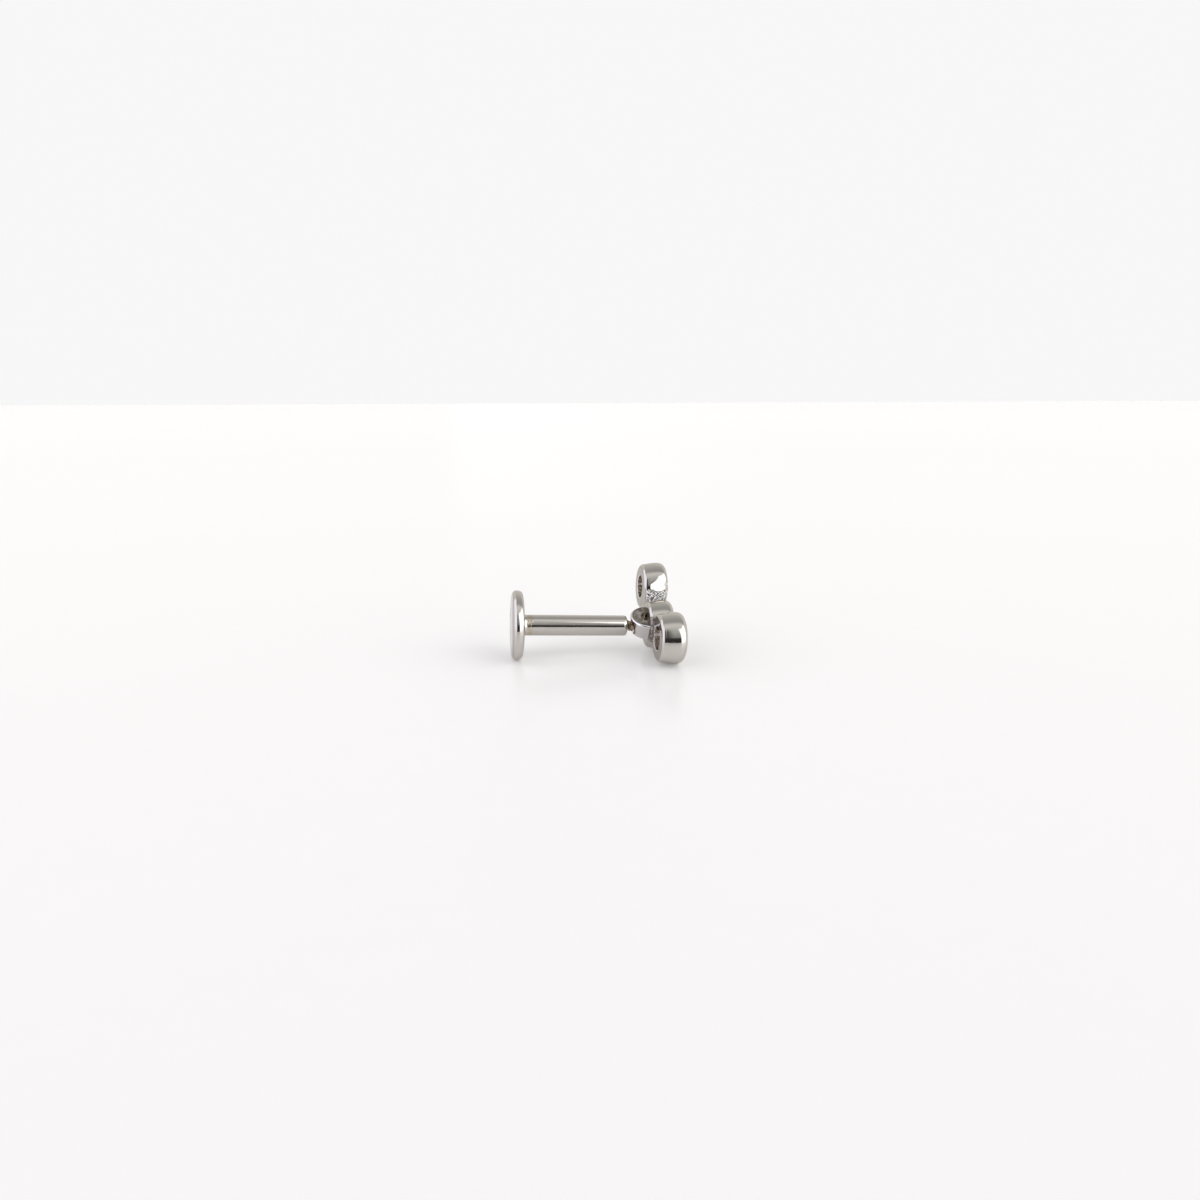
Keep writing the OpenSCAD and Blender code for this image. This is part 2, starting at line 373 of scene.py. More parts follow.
# ---- Post
# The straight barrel that goes through the piercing. Drawn steel rod with a rounded free end, drilled and
# tapped there for the head's pin, and flared by the weld where it meets the disc.

barrel_length = 6.1
bore_radius = 0.42
bore_depth = 2.4
thread_pitch = 0.25
thread_height = 0.06


def thread():
    """Lifts or sinks a turned surface in a right-hand helix, between two places and within a radius."""
    tree, given = new_tree(
        "screw thread",
        "GeometryNodeTree",
        [
            ("Geometry", "Geometry"),
            ("Segments", "Int", 128),
            ("Finish", "Material"),
            ("Pitch", "Float", 0.25),
            ("Height", "Float", 0.08),
            ("From", "Float", 0.0),
            ("To", "Float", 1.0),
            ("Run out", "Float", 0.1),
            ("Within", "Float", 1.0),
            ("Start", "Float", 0.0),
        ],
        [("Geometry", "Geometry")],
    )
    blank = put(tree, "GeometryNodeGroup", node_tree=turned)
    for label in ("Geometry", "Segments", "Finish"):
        tree.links.new(given[label], blank.inputs[label])
    position = tree.nodes.new("GeometryNodeInputPosition").outputs[0]
    along, across, up = parts(tree, position)
    out = vector_of(tree, Y=across, Z=up)
    radius = vectors(tree, "LENGTH", out)
    turn = calc(tree, "DIVIDE", calc(tree, "ARCTAN2", up, across), math.tau)
    advance = calc(tree, "DIVIDE", along, given["Pitch"])
    phase = calc(tree, "FRACT", plus(tree, minus(tree, advance, turn), given["Start"]))
    flank = calc(tree, "ABSOLUTE", minus(tree, times(tree, phase, 2.0), 1.0))
    feed = {"Value": flank, "From Min": 0.12, "From Max": 0.85, "To Min": 1.0, "To Max": 0.0}
    ridge = put(tree, "ShaderNodeMapRange", feed).outputs["Result"]
    rise = minus(tree, along, given["From"])
    fall = minus(tree, given["To"], along)
    fade = calc(tree, "DIVIDE", calc(tree, "MINIMUM", rise, fall), given["Run out"])
    held = calc(tree, "MINIMUM", calc(tree, "MAXIMUM", fade, 0.0), 1.0)
    near = calc(tree, "LESS_THAN", radius, given["Within"])
    lift = times(tree, times(tree, ridge, held), times(tree, near, given["Height"]))
    offset = scaled(tree, vectors(tree, "NORMALIZE", out), lift)
    cut = put(tree, "GeometryNodeSetPosition", {"Geometry": blank.outputs[0], "Offset": offset}).outputs[0]
    put(tree, "NodeGroupOutput", {"Geometry": cut})
    return tree


threaded = thread()


def even(start, end, out, step):
    """Points at even steps along a straight stretch, for a thread to be cut in."""
    count = math.ceil(abs(end - start) / step)
    return [Vector((start + (end - start) * k / count, out)) for k in range(1, count)]


bore_end = barrel_length - bore_depth
mouth_edge = 0.04
thread_step = 0.021
flare = leaning_line(
    (0.27, barrel_radius),
    [(0.27, 0), (0.24, -4), (0.2, -12), (0.1, -20), (0.06, -30), (0.03, -55), (0, -80)],
)
end_roll = leaning_line(
    (barrel_length - 0.24, barrel_radius),
    [(5.86, 0), (5.9, -3), (5.95, -9), (6.0, -18), (6.03, -28), (6.06, -45), (6.085, -65), (6.1, -80)],
)
in_disc = [Vector((-0.2, 0)), Vector((-0.2, flare[-1].y))]
outside = in_disc + flare[::-1] + [Vector((0.3, barrel_radius))] + end_roll
mouth = [Vector((barrel_length, bore_radius + 0.03)), Vector((barrel_length - mouth_edge, bore_radius))]
bore = even(barrel_length - mouth_edge, bore_end, bore_radius, thread_step)
drill_point = [Vector((bore_end, bore_radius)), Vector((bore_end - 0.12, 0))]
post = made_by(
    threaded,
    "post",
    outside + mouth + bore + drill_point,
    {
        "Segments": 160,
        "Finish": post_steel,
        "Pitch": thread_pitch,
        "Height": -thread_height,
        "From": bore_end + 0.1,
        "To": barrel_length,
        "Run out": 0.08,
        "Within": bore_radius + 0.01,
        "Start": 0.5,
    },
)
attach(post, "post")


# ---- Threaded pin
# The short screw that is fixed in the lug and holds the head in the post. Turned from steel, thinner in the
# neck between post and lug, threaded from end to end, and left brown from the heat of the soldering.

pin_tip = barrel_length - 2.0
pin_end = cup_back_at - 0.05
pin_root, neck_root = 0.335, 0.265
chatter_step = 0.0833


def pin_finish():
    """Steel browned by heat, darker in the thread, with the cutter's chatter and a few bright nicks."""
    material, tree, shader = finish_called("browned pin steel")
    place = upright(tree)
    height = polished(tree, shader, place, (0.16, 0.36))
    along, across, up = parts(tree, place)
    turn = calc(tree, "DIVIDE", calc(tree, "ARCTAN2", up, across), math.tau)
    helix = minus(tree, along, times(tree, turn, thread_pitch))
    chatter = calc(tree, "SINE", times(tree, helix, math.tau / chatter_step))
    blotch = noise(tree, place, 5.0, 6.0, 0.7)
    worn = plus(tree, blotch, times(tree, chatter, 0.09))
    brown = put(tree, "ShaderNodeValToRGB", {"Fac": worn})
    stops = brown.color_ramp.elements
    stops[0].position, stops[0].color = 0.32, (0.06, 0.035, 0.02, 1)
    stops[1].position, stops[1].color = 0.64, (0.9, 0.8, 0.66, 1)
    stops.new(0.5).color = (0.33, 0.235, 0.15, 1)
    tree.links.new(brown.outputs["Color"], shader.inputs["Base Color"])
    raised(tree, shader, plus(tree, height, plus(tree, blotch, times(tree, chatter, 0.3))), 0.014)
    return material


tip = soft_line(
    [
        (pin_tip, 0, 0),
        (pin_tip, pin_root - 0.06, 0),
        (pin_tip + 0.06, pin_root, 0.01),
        (pin_tip + 0.2, pin_root, 0),
    ]
)
in_post = even(pin_tip + 0.2, barrel_length - 0.02, pin_root, thread_step)
in_neck = even(barrel_length, pin_end - 0.04, neck_root, thread_step)
butt = [Vector((pin_end - 0.04, neck_root)), Vector((pin_end, neck_root - 0.04)), Vector((pin_end, 0))]
threaded_pin = made_by(
    threaded,
    "screw_pin",
    tip + in_post + in_neck + butt,
    {
        "Segments": 96,
        "Finish": pin_finish(),
        "Pitch": thread_pitch,
        "Height": thread_height,
        "From": pin_tip + 0.02,
        "To": pin_end - 0.02,
        "Run out": 0.1,
        "Within": 1.0,
    },
)
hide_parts("threaded_pin")
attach(threaded_pin, "pin")


# ---- Bezel cups
# Three round cups in a bent arc, each a short tapered tube whose front edge is rolled in over its stone. Cast
# steel with an open back, polished outside, and grainy beside the joints, where the mop doesn't reach.

cup_pitch = 2.88
arc_bend = math.radians(39)
cup_depth = 1.5
cup_lift = 0.07
back_round = 0.24
hole_radius = 0.675
hole_depth = 0.731
seat_radius = 1.13
mouth_radius = 1.04
near_cup = Vector((-cup_pitch, cup_lift))
middle_cup = Vector((0, cup_lift))
far_cup = middle_cup + cup_pitch * Vector((math.cos(arc_bend), math.sin(arc_bend)))
joints = [((near_cup + middle_cup) / 2, 0.5), ((middle_cup + far_cup) / 2, 0.95)]


def roughened(tree, shader, more):
    """Adds to the roughness that the polish marks gave."""
    marks = shader.inputs["Roughness"].links[0].from_socket
    tree.links.new(plus(tree, marks, more), shader.inputs["Roughness"])


def head_finish():
    """Mirror-polished cast steel, grainy round the joints, stained brown inside the cups, with painted glints
    and shade in the grain, painted shade behind the near joint, a painted highlight round each back hole and
    a painted glint band inside the holes.
    """
    material, tree, shader = finish_called("polished head steel")
    place = upright(tree)
    along, across, up = parts(tree, place)
    flat = vector_of(tree, Y=across, Z=up)
    drift = minus(tree, noise(tree, place, 4.0, 3.0), 0.5)

    def near(points, reach, soft, ragged):
        """A mask round lines along the post's direction through the points given, with a ragged edge."""
        whole = None
        for (y, z), far in zip(points, reach):
            off = vectors(tree, "DISTANCE", flat, (0, y, z))
            uneven = plus(tree, off, times(tree, drift, ragged))
            mask = fall_between(tree, uneven, far - soft, far + soft)
            whole = mask if whole is None else calc(tree, "MAXIMUM", whole, mask)
        return whole

    three = (near_cup, middle_cup, far_cup)
    forward = ramp_between(tree, along, 7.4, 7.5)
    before_rim = fall_between(tree, along, 8.5, 8.66)
    grainy = near([joint for joint, _ in joints], [reach for _, reach in joints], 0.07, 0.5)
    grainy = times(tree, grainy, times(tree, forward, before_rim))
    just_in = (cup_back_at + 0.012, cup_back_at + 0.03)
    in_hole = ramp_between(tree, along, *just_in)
    stained = times(tree, near(three, [hole_radius + 0.015] * 3, 0.006, 0.0), in_hole)
    flat_back = fall_between(tree, along, *just_in)
    # A lighter ring round each hole on the flat back is a painted highlight on the hole's rounded edge.
    hole_rim_highlight = times(tree, near(three, [hole_radius + 0.06] * 3, 0.012, 0.0), flat_back)
    # Behind the near joint, between the cups and below the lug, the steel is painted darker as painted shade,
    # and it is roughened there as well.
    behind = fall_between(tree, along, 7.5, 7.62)
    shaded_near_joint = times(tree, near((joints[0][0],), (0.8,), 0.06, 0.35), behind)
    # A pale band at mid height on the inside wall of the holes is a painted glint, standing for light from
    # the stone's point.
    levels = [calc(tree, "ABSOLUTE", minus(tree, up, centre.y)) for centre in (middle_cup, far_cup)]
    uneven_level = plus(tree, calc(tree, "MINIMUM", *levels), times(tree, drift, 0.3))
    painted_glint_band = fall_between(tree, uneven_level, 0.04, 0.1)
    height = polished(tree, shader, place, (0.04, 0.11))
    cells = put(tree, "ShaderNodeTexVoronoi", {"Vector": place, "Scale": 9.0, "Detail": 1.0})
    bumps = noise(tree, place, 13.0, 3.0)
    stain_and_shade_places = times(tree, calc(tree, "MAXIMUM", stained, shaded_near_joint), 0.3)
    rough_places = calc(tree, "MAXIMUM", grainy, stain_and_shade_places)
    casting = times(tree, plus(tree, cells.outputs["Distance"], bumps), rough_places)
    raised(tree, shader, plus(tree, height, times(tree, casting, 26.0)), 0.004)
    roughened(tree, shader, times(tree, stained, 0.15))
    roughened(tree, shader, times(tree, shaded_near_joint, 0.2))
    cloud = noise(tree, place, 1.9, 2.0)
    steel = blend(tree, cloud, (0.545, 0.52, 0.485), (0.58, 0.555, 0.52))
    steel = blend(tree, flat_back, steel, (0.4, 0.385, 0.37))
    # The lighter ring round each hole: painted highlight.
    steel = blend(tree, hole_rim_highlight, steel, (0.8, 0.78, 0.76))
    # In the grainy places the grain is real, but its near-white and near-black patches are painted glints and
    # painted shade.
    grain_with_painted_glints = blend(tree, ramp_between(tree, bumps, 0.4, 0.58), (0.13, 0.12, 0.115), (1.0, 0.99, 0.98))
    steel = blend(tree, grainy, steel, grain_with_painted_glints)
    flecks = noise(tree, place, 7.0, 4.0)
    # The dark flecked colour behind the near joint is painted shade.
    painted_joint_shade = blend(tree, ramp_between(tree, flecks, 0.42, 0.6), (0.15, 0.13, 0.12), (0.38, 0.35, 0.33))
    steel = blend(tree, shaded_near_joint, steel, painted_joint_shade)
    brown = blend(tree, ramp_between(tree, flecks, 0.42, 0.64), (0.26, 0.205, 0.17), (0.62, 0.54, 0.47))
    # The pale band blended over the stain inside the holes is that painted glint.
    brown = blend(tree, painted_glint_band, brown, (0.98, 0.95, 0.92))
    tree.links.new(blend(tree, stained, steel, brown), shader.inputs["Base Color"])
    return material


def three_cups():
    """One turned cup, repeated at the three centres of the arc."""
    tree, given = new_tree(
        "cups in an arc",
        "GeometryNodeTree",
        [
            ("Geometry", "Geometry"),
            ("Segments", "Int", 128),
            ("Finish", "Material"),
            ("Near", "Vector"),
            ("Middle", "Vector"),
            ("Far", "Vector"),
        ],
        [("Geometry", "Geometry")],
    )
    cup = put(tree, "GeometryNodeGroup", node_tree=turned)
    for label in ("Geometry", "Segments", "Finish"):
        tree.links.new(given[label], cup.inputs[label])
    number = tree.nodes.new("GeometryNodeInputIndex").outputs[0]
    which = put(tree, "GeometryNodeIndexSwitch", data_type="VECTOR")
    which.index_switch_items.new()
    tree.links.new(number, which.inputs[0])
    for k, label in enumerate(("Near", "Middle", "Far")):
        tree.links.new(given[label], which.inputs[k + 1])
    centres = put(tree, "GeometryNodePoints", {"Count": 3, "Position": which.outputs[0]}).outputs[0]
    feed = {"Points": centres, "Instance": cup.outputs[0]}
    row = put(tree, "GeometryNodeInstanceOnPoints", feed).outputs[0]
    real = put(tree, "GeometryNodeRealizeInstances", {"Geometry": row}).outputs[0]
    put(tree, "NodeGroupOutput", {"Geometry": real})
    return tree


head_steel = head_finish()
cup_wall = leaning_line(
    (back_round, 1.369),
    [
        (back_round, 13.5), (0.33, 11.5), (0.5, 9.8), (0.62, 8.2), (0.72, 7), (0.82, 5.5), (0.92, 3.5),
        (0.99, 1.5), (1.05, -0.5), (1.1, -4), (1.2, -14), (1.27, -24), (1.34, -36), (1.41, -51), (1.46, -66),
        (1.485, -77),
    ],
)
hole_edge = soft_line([(hole_depth, hole_radius, 0.04), (0, hole_radius, 0.06), (0, 1.1, 0)])[1:]
back_edge = [
    Vector((back_round - back_round * math.cos(turn), 1.135 + back_round * math.sin(turn)))
    for turn in (math.radians(77 * k / 14) for k in range(14))
]
rolled_edge = soft_line(
    [
        (cup_depth, 1.13, 0),
        (cup_depth, 1.09, 0.03),
        (cup_depth - 0.05, mouth_radius, 0.02),
        (1.2925, mouth_radius, 0.02),
        (1.23, seat_radius, 0),
    ]
)
seat = [Vector((1.12, seat_radius)), Vector((hole_depth, hole_radius))]
cup_profile = hole_edge + back_edge + cup_wall + rolled_edge + seat

filed_depth, filed_more = 0.11, 0.07
filed_reach = 1.6


def clamped(share):
    return min(max(share, 0), 1)


def eased(share):
    share = clamped(share)
    return share * share * (3 - 2 * share)


def dressed(point):
    """Filed down a little beside the far joint, more towards the stone, where the solder was cleaned off."""
    out = Vector(point.yz) - far_cup
    if out.length > filed_reach:
        return point
    turn = math.degrees(math.atan2(out.y, -out.x))
    along = point.x - cup_back_at
    forward = clamped((along - 0.36) / 0.6)
    depth = filed_depth * eased((50 - turn) / 40) * clamped(along - 0.25)
    wedge = eased((22 + 18 * forward - turn) / (6 + 22 * forward))
    depth += filed_more * wedge * (1 - (1 - forward) ** 2)
    depth *= eased((turn + 22) / 26) * eased((out.length - 1.1) / 0.22)
    return Vector((point.x, *(far_cup + out * (1 - depth / out.length))))


cups = made_by(
    three_cups(),
    "bezel_cups",
    cup_profile + cup_profile[:1],
    {
        "Segments": 224,
        "Finish": head_steel,
        "Near": (cup_back_at, *near_cup),
        "Middle": (cup_back_at, *middle_cup),
        "Far": (cup_back_at, *far_cup),
    },
    filed=dressed,
)
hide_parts("setting")
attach(cups, "head")


# ---- Solder in the joints
# Hard solder that has run into the cusps between neighbouring cups. It stands as a narrow grainy web with a
# hollow face, because a polishing mop can't get at it.

web_start, web_length, web_steps = 0.2, 1.16, 36
web_fillet, end_fillet = 0.16, 0.12
web_buried = 0.2


def cup_radius(along):
    """The outside of a cup at a place along it, near enough for the web to follow."""
    if along < 0.2:
        return 1.12 + math.sqrt(back_round**2 - (back_round - along) ** 2)
    if along > 1.084:
        return 1.14 + math.sqrt(0.36**2 - (along - 1.14) ** 2)
    return 1.3252 + 0.1572 * along


def web_ring(along, fillet):
    """One section across the web: a hollow arc above and below, and sides that are buried in the two cups."""
    radius = cup_radius(along)
    half = cup_pitch / 2
    height = math.sqrt(max((radius + fillet) ** 2 - half**2, 0.01))
    spread = math.atan2(half, height)
    arc = [
        Vector((along, fillet * math.sin(a), height - fillet * math.cos(a)))
        for a in (spread * (k / 5 - 1) for k in range(11))
    ]
    side = [Vector((along, web_buried, z)) for z in (0.3, 0.1, -0.1, -0.3)]
    under = [Vector((along, -p.y, -p.z)) for p in arc]
    other = [Vector((along, -web_buried, -p.z)) for p in side]
    return arc + side + under + other


def solder_nodes():
    """The web at both joints, turned to each, with the lumps of metal that froze in place."""
    tree, given = new_tree(
        "solder in the cusps",
        "GeometryNodeTree",
        [
            ("Geometry", "Geometry"),
            ("Near", "Vector"),
            ("Far", "Vector"),
            ("Bend", "Float", 0.0),
            ("Lumps", "Float", 0.02),
            ("Finish", "Material"),
        ],
        [("Geometry", "Geometry")],
    )
    webs = tree.nodes.new("GeometryNodeJoinGeometry")
    for label, angle in (("Near", 0.0), ("Far", given["Bend"])):
        turn = vector_of(tree, X=angle)
        feed = {"Geometry": given["Geometry"], "Translation": given[label], "Rotation": turn}
        tree.links.new(put(tree, "GeometryNodeTransform", feed).outputs[0], webs.inputs[0])
    real = put(tree, "GeometryNodeRealizeInstances", {"Geometry": webs.outputs[0]}).outputs[0]
    lumps = put(tree, "ShaderNodeTexNoise", {"Scale": 6.0, "Detail": 4.0, "Roughness": 0.7}).outputs["Fac"]
    swell = times(tree, minus(tree, lumps, 0.4), given["Lumps"])
    normal = tree.nodes.new("GeometryNodeInputNormal").outputs[0]
    offset = scaled(tree, normal, swell)
    frozen = put(tree, "GeometryNodeSetPosition", {"Geometry": real, "Offset": offset}).outputs[0]
    give_back(tree, frozen, given["Finish"])
    return tree


def skin(rings, size):
    """Faces between neighbouring rings of points, given how many rings there are and the points in one."""
    return [
        (r * size + i, r * size + (i + 1) % size, (r + 1) * size + (i + 1) % size, (r + 1) * size + i)
        for r in range(rings - 1)
        for i in range(size)
    ]


stations = [web_start + web_length * k / web_steps for k in range(web_steps + 1)]
fillets = [end_fillet, *[web_fillet] * (web_steps - 1), end_fillet]
rings = [web_ring(along, fillet) for along, fillet in zip(stations, fillets)]
size = len(rings[0])
web_points = [p for ring in rings for p in ring]
web_points += [Vector((stations[0], 0, 0)), Vector((stations[-1], 0, 0))]
web_faces = skin(len(rings), size)
last = web_steps * size
web_faces += [(len(web_points) - 2, (i + 1) % size, i) for i in range(size)]
web_faces += [(len(web_points) - 1, last + i, last + (i + 1) % size) for i in range(size)]
solder = made_by(
    solder_nodes(),
    "solder",
    web_points,
    {
        "Near": (cup_back_at, *joints[0][0]),
        "Far": (cup_back_at, *joints[1][0]),
        "Bend": arc_bend,
        "Lumps": 0.09,
        "Finish": head_steel,
    },
    faces=web_faces,
)
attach(solder, "head")


# ---- Lug
# A half-round lug with a round window, soldered to the middle cup's back and drilled for the pin. Cast a
# little wider at its top, with the turning tool's rings left in its dished face, and softened at its edges
# by the mop.

lug_top_radius, lug_low_radius = 1.08, 0.94
lug_edge = 0.1
lug_low, lug_high = -0.46, 0.58
lug_inset = 0.09
lug_lean = math.radians(20)
lug_turn, lug_steps = 97, 128
window_radius = 0.42
pin_hole_radius = 0.34
dish_depth = 0.03
ring_step = 0.12
stripe_step = 0.13


def lug_finish():
    """Polished outside, with painted highlights along the front of the top edge and round the pin hole; the
    dished face and the window keep the tool's rings and the soldering's brown, with a painted shadow round
    the face's border.
    """
    material, tree, shader = finish_called("turned lug steel")
    place = upright(tree)
    centre = Vector((cup_back_at + lug_inset, *middle_cup))
    own = rotated(tree, vectors(tree, "SUBTRACT", place, centre), -lug_lean, "X")
    along, across, up = parts(tree, own)
    flat = vector_of(tree, X=along, Y=across)
    out = vectors(tree, "LENGTH", flat)
    height = polished(tree, shader, place, (0.05, 0.13))
    mottle = noise(tree, place, 3.4, 5.0, 0.6)
    on_top = ramp_between(tree, up, lug_high - 0.06, lug_high - 0.035)
    face = times(tree, on_top, fall_between(tree, out, 0.93, 0.99))
    window = fall_between(tree, out, window_radius + 0.01, window_radius + 0.04)
    wobble = plus(tree, out, times(tree, mottle, 0.03))
    rings = calc(tree, "SINE", times(tree, wobble, math.tau / ring_step))
    ringed = times(tree, face, plus(tree, times(tree, rings, 0.8), times(tree, mottle, 3.0)))
    raised(tree, shader, plus(tree, height, ringed), 0.006)
    roughened(tree, shader, times(tree, face, 0.1))
    steel = blend(tree, mottle, (0.64, 0.61, 0.6), (0.7, 0.675, 0.665))
    # A lilac-white band along the top edge on the front side is a painted highlight.
    top_edge = ramp_between(tree, up, lug_high - 0.12, lug_high - 0.07)
    highlit_front_side = fall_between(tree, across, -0.5, -0.25)
    edge = times(tree, times(tree, top_edge, ramp_between(tree, out, 0.97, 1.0)), highlit_front_side)
    steel = blend(tree, edge, steel, (0.85, 0.84, 0.9))
    arcs = plus(tree, mottle, times(tree, rings, 0.07))
    dull = blend(tree, ramp_between(tree, arcs, 0.4, 0.62), (0.25, 0.215, 0.185), (0.5, 0.475, 0.44))
    # A darker band round the dished face's border is a painted shadow.
    shade = times(tree, ramp_between(tree, out, 0.86, 0.92), face)
    dull = blend(tree, shade, dull, (0.2, 0.175, 0.155))
    colour = blend(tree, face, steel, dull)
    from_pin = vectors(tree, "LENGTH", vectors(tree, "MULTIPLY", place, (0, 1, 1)))
    outer = ramp_between(tree, out, 0.7, 0.75)
    hole = pin_hole_radius
    # A bright ring round the pin hole on the outer wall is a painted highlight on the hole's rim; the brown
    # ring beyond it is flux.
    ring = times(tree, fall_between(tree, from_pin, hole + 0.09, hole + 0.12), outer)
    flux = times(tree, fall_between(tree, from_pin, hole + 0.19, hole + 0.24), outer)
    colour = blend(tree, flux, colour, (0.2, 0.14, 0.09))
    colour = blend(tree, ring, colour, (0.9, 0.87, 0.84))
    slanted = calc(tree, "SINE", times(tree, plus(tree, up, across), math.tau / stripe_step))
    striped = ramp_between(tree, plus(tree, slanted, times(tree, mottle, 2.0)), 0.4, 1.8)
    burnt = blend(tree, striped, (0.12, 0.09, 0.07), (0.34, 0.28, 0.22))
    tree.links.new(blend(tree, window, colour, burnt), shader.inputs["Base Color"])
    return material


def lug_section():
    """A loop across the lug's wall, (out, up): window side, low edge, outer side and dished face."""
    corners = [
        (window_radius, lug_low, 0.03),
        (lug_low_radius, lug_low, lug_edge),
        (lug_top_radius, lug_high, lug_edge),
        (window_radius, lug_high, 0.03),
    ]
    loop = soft_line(corners, closed=True)
    face = [k for k, p in enumerate(loop) if p.y > lug_high - 0.001]
    start, end = loop[face[0]], loop[face[-1]]
    between = [start.lerp(end, k / 14) for k in range(1, 14)]
    loop[face[0] + 1 : face[-1]] = between
    for p in loop:
        share = (p.x - window_radius - 0.05) / (lug_top_radius - window_radius - 0.15)
        if p.y > lug_high - 0.001 and 0 < share < 1:
            p.y -= dish_depth * math.sin(math.pi * share) ** 2
    return loop


def lug_solid():
    """The section turned about the lug's own axis from one side of the cup's back to the other."""
    section = lug_section()
    turns = [math.radians(-lug_turn + 2 * lug_turn * k / lug_steps) for k in range(lug_steps + 1)]
    points = [(lug_inset - p.x * math.cos(a), -p.x * math.sin(a), p.y) for a in turns for p in section]
    size = len(section)
    faces = skin(len(turns), size)
    faces += [tuple(range(size)), tuple(lug_steps * size + i for i in reversed(range(size)))]
    mesh = bpy.data.meshes.new("lug")
    mesh.from_pydata(points, [], faces)
    whole = bmesh.new()
    whole.from_mesh(mesh)
    bmesh.ops.recalc_face_normals(whole, faces=whole.faces)
    whole.to_mesh(mesh)
    whole.free()
    mesh.transform(Matrix.Translation((cup_back_at, *middle_cup)) @ Matrix.Rotation(lug_lean, 4, "X"))
    return mesh


def drill(radius, start, end, centre):
    """A drill's shape along the post's line, from one place to another."""
    tool = bmesh.new()
    bmesh.ops.create_cone(tool, cap_ends=True, segments=96, radius1=radius, radius2=radius, depth=end - start)
    bmesh.ops.transform(tool, matrix=Matrix.Rotation(math.pi / 2, 4, "Y"), verts=tool.verts)
    bmesh.ops.translate(tool, vec=((start + end) / 2, *centre), verts=tool.verts)
    mesh = bpy.data.meshes.new("drill")
    tool.to_mesh(mesh)
    tool.free()
    return placed("drill", mesh)


lug = placed("lug", lug_solid())
drills = [
    drill(pin_hole_radius, cup_back_at - 1.2, cup_back_at - 0.1, (0, 0)),
    drill(hole_radius, cup_back_at - 0.01, cup_back_at + 1, middle_cup),
]
for shape in drills:
    cut = lug.modifiers.new("cut", "BOOLEAN")
    cut.operation = "DIFFERENCE"
    cut.object = shape
drilled = as_evaluated(lug)
for shape in drills:
    bpy.data.objects.remove(shape)
drilled.shade_smooth()
drilled.set_sharp_from_angle(angle=math.radians(35))
drilled.transform(laid_down)
drilled.materials.append(lug_finish())
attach(lug, "head")


# ---- Stones
# Three round brilliant-cut stones, cut from clear cubic zirconia and polished facet by facet. Each is
# seated in its cup from the front, and its point shows through the open back.


def stone_finish():
    """Clear, very faintly warm stone, with the last traces of the polishing wheel on its facets."""
    material, tree, shader = finish_called("clear cut stone")
    place = upright(tree)
    veil = noise(tree, place, 2.0, 4.0)
    tree.links.new(blend(tree, veil, (0.93, 0.88, 0.83), (0.98, 0.95, 0.92)), shader.inputs["Base Color"])
    tree.links.new(ramp_between(tree, veil, 0.3, 0.8, 0.0, 0.02), shader.inputs["Roughness"])
    wheel = noise(tree, vectors(tree, "MULTIPLY", place, (6.0, 60.0, 9.0)), 1.0, 2.0)
    raised(tree, shader, wheel, 0.00002)
    shader.inputs["Transmission Weight"].default_value = 1.0
    shader.inputs["IOR"].default_value = 2.15
    return material


clear_stone = stone_finish()
for name in ("stone_far", "stone_middle", "stone_near"):
    stone = frame["nodes"][name]
    stone.data.materials.clear()
    stone.data.materials.append(clear_stone)


# ---- Table, light and camera
# A plain pale table of coated board in a soft light tent of cloth: a cool panel on the left, a bright one on
# the right, a dim front and a grey top, whose edges show as bands in the polished steel. The camera stands as
# close as it did for the photograph.


def table_finish():
    material, tree, shader = finish_called("pale table")
    place = tree.nodes.new("ShaderNodeTexCoord").outputs["Object"]
    paper = noise(tree, place, 900.0, 2.0)
    white = blend(tree, paper, (0.8, 0.785, 0.775), (0.81, 0.795, 0.785))
    tree.links.new(white, shader.inputs["Base Color"])
    shader.inputs["Roughness"].default_value = 0.22
    shader.inputs["Specular IOR Level"].default_value = 0.35
    shader.inputs["Emission Color"].default_value = (1, 1, 1, 1)
    shader.inputs["Emission Strength"].default_value = 0.147
    return material


# The part of the table that lies in front of the stud isn't seen in reflections, so the steel shows the dark
# below the tent's front there.
pale_table = table_finish()
table_side = 0.8
table_split = -0.02
for name, front, back, mirrored in (
    ("table", table_split, table_side, True),
    ("table_in_front", -table_side, table_split, False),
):
    corners = [(-table_side, front, 0), (table_side, front, 0), (table_side, back, 0), (-table_side, back, 0)]
    table_mesh = bpy.data.meshes.new(name)
    table_mesh.from_pydata(corners, [], [(0, 1, 2, 3)])
    table_mesh.materials.append(pale_table)
    table = placed(name, table_mesh)
    table.visible_glossy = mirrored


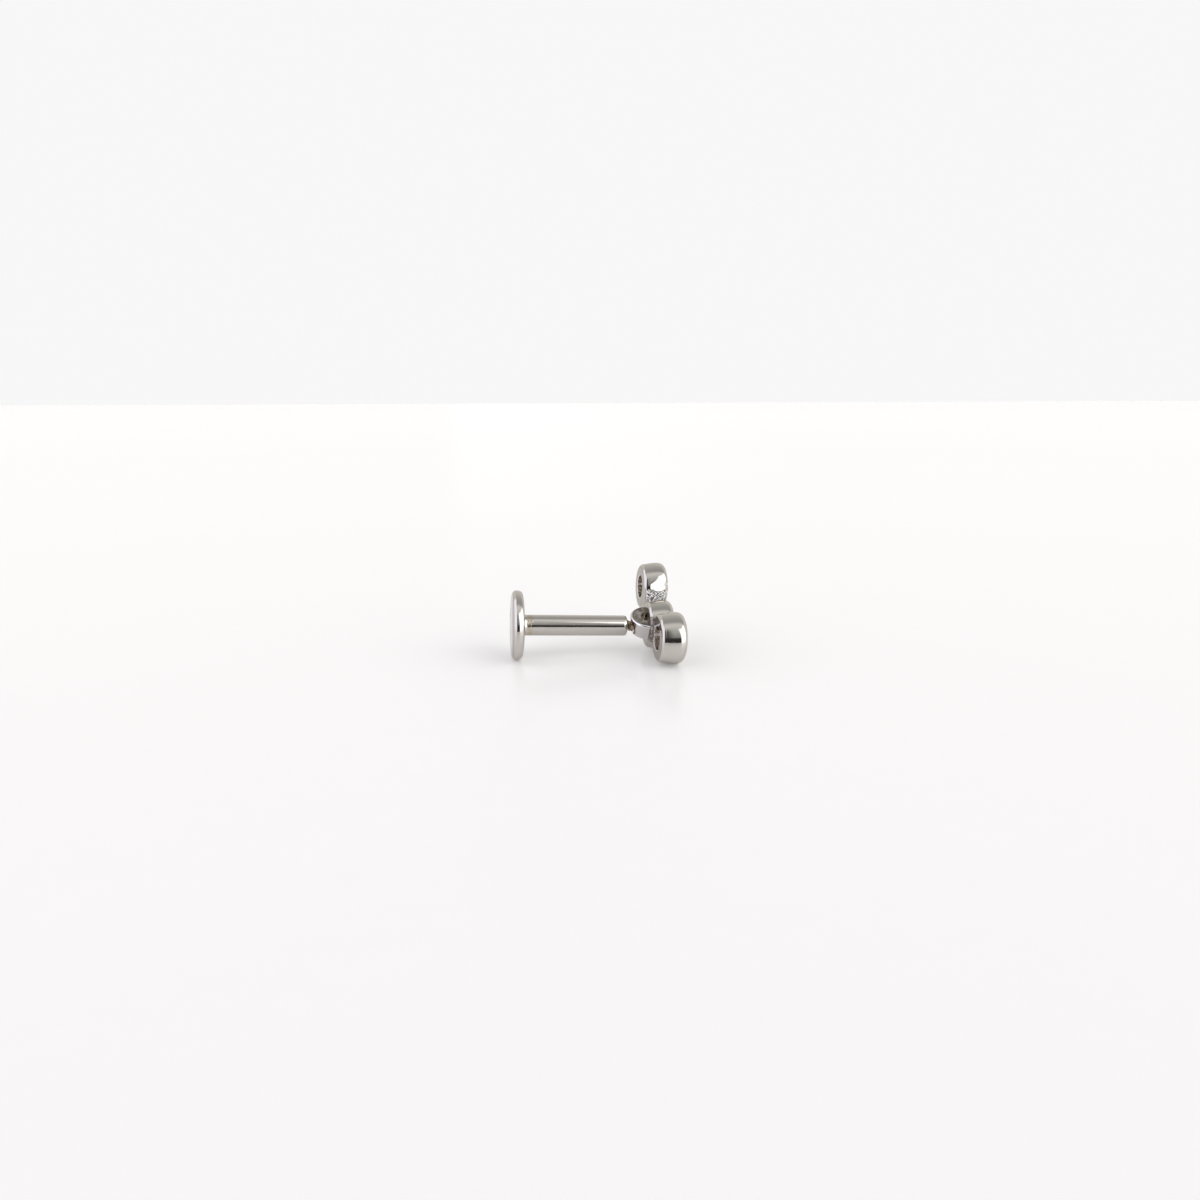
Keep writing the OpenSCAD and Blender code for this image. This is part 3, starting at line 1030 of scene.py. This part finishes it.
def light_tent():
    """The world's light by direction: over the top from front to back, then the panels round the stud."""
    world = bpy.data.worlds.new("light tent")
    world.use_nodes = True
    tree = world.node_tree
    tree.nodes.clear()
    way = tree.nodes.new("ShaderNodeTexCoord").outputs["Generated"]
    right, back, up = parts(tree, way)
    front = times(tree, back, -1.0)
    over = calc(tree, "DIVIDE", calc(tree, "ARCTAN2", up, front), math.pi)
    around = times(tree, calc(tree, "ARCTAN2", right, front), math.degrees(1))
    height = times(tree, calc(tree, "ARCSINE", up), math.degrees(1))
    arch = put(tree, "ShaderNodeValToRGB", {"Fac": over})
    levels = [
        (0, 0.04), (12, 0.05), (15, 0.16), (18, 0.34), (25, 0.43), (34, 0.52), (43, 0.62), (52, 0.7),
        (60, 0.8), (66, 0.9), (72, 0.93), (77, 0.9), (82, 0.76), (87, 0.58), (92, 0.47), (100, 0.47),
        (112, 0.54), (125, 0.63), (140, 0.73), (155, 0.82), (168, 0.93), (180, 0.96),
    ]
    for k, (degrees, level) in enumerate(levels):
        stop = arch.color_ramp.elements[k] if k < 2 else arch.color_ramp.elements.new(1.0)
        stop.position = degrees / 180
        stop.color = (level, level, level * 0.98, 1)

    def box(turn_from, turn_to, soft, soft_to, above, fade):
        """How much of a direction lies in a panel, between two turns from the front and under a height."""
        rising = ramp_between(tree, around, turn_from - soft, turn_from + soft)
        falling = fall_between(tree, around, turn_to - soft_to, turn_to + soft_to)
        under = fall_between(tree, height, above - fade, above + fade)
        return times(tree, times(tree, rising, falling), under)

    cloth = (0.9, 0.89, 0.87)
    panels = [
        (box(84, 168, 12, 12, 40, 10), cloth),
        (box(-190, -136, 8, 8, 40, 10), cloth),
        (box(-136, -48, 4, 4, 52, 6), (1.46, 1.45, 1.62)),
        (box(-48, -34, 3, 3, 50, 12), (0.5, 0.49, 0.5)),
        (box(-34, -5, 5, 8, 52, 12), (0.05, 0.045, 0.045)),
        (box(18, 80, 3, 5, 52, 6), (2.4, 2.4, 2.4)),
    ]
    backdrop = tree.nodes.new("ShaderNodeLightPath").outputs["Is Camera Ray"]
    colour = arch.outputs["Color"]
    for share, panel in [*panels, (backdrop, (0.935, 0.935, 0.935))]:
        colour = blend(tree, share, colour, panel)
    light = put(tree, "ShaderNodeBackground", {"Color": colour, "Strength": 1.0}).outputs[0]
    put(tree, "ShaderNodeOutputWorld", {"Surface": light})
    return world


bpy.context.scene.world = light_tent()
ceiling_light = bpy.data.lights.new("ceiling", "SUN")
ceiling_light.angle = math.radians(70)
ceiling_light.energy = 0.1
ceiling = placed("ceiling", ceiling_light)
ceiling.rotation_euler = (math.radians(-8), math.radians(6), 0)
ceiling.visible_glossy = False
ceiling.visible_transmission = False

# The photograph's camera: how far it was, how wide the picture is there, and where the seen point lies in it.
seen_point = Vector(head_turn["pos_m"])
camera_away, picture_wide = 50.2, 71.43
picture_size = 1200
seen_right, seen_down = 645.6, 625.6
camera_turn, camera_lift = math.radians(12.48), math.radians(15.8)
to_camera = Vector(
    (
        -math.sin(camera_turn) * math.cos(camera_lift),
        -math.cos(camera_turn) * math.cos(camera_lift),
        math.sin(camera_lift),
    )
)
lens = bpy.data.cameras.new("camera")
lens.sensor_width = 36
lens.lens = lens.sensor_width * camera_away / picture_wide
lens.shift_x = (picture_size / 2 - seen_right) / picture_size
lens.shift_y = (seen_down - picture_size / 2) / picture_size
lens.clip_start = 0.002
lens.clip_end = 10
camera = placed("camera", lens)
camera.location = seen_point + to_camera * (camera_away / 1000)
camera.rotation_euler = (-to_camera).to_track_quat("-Z", "Y").to_euler()
bpy.context.scene.camera = camera
bpy.context.scene.view_settings.view_transform = "Standard"
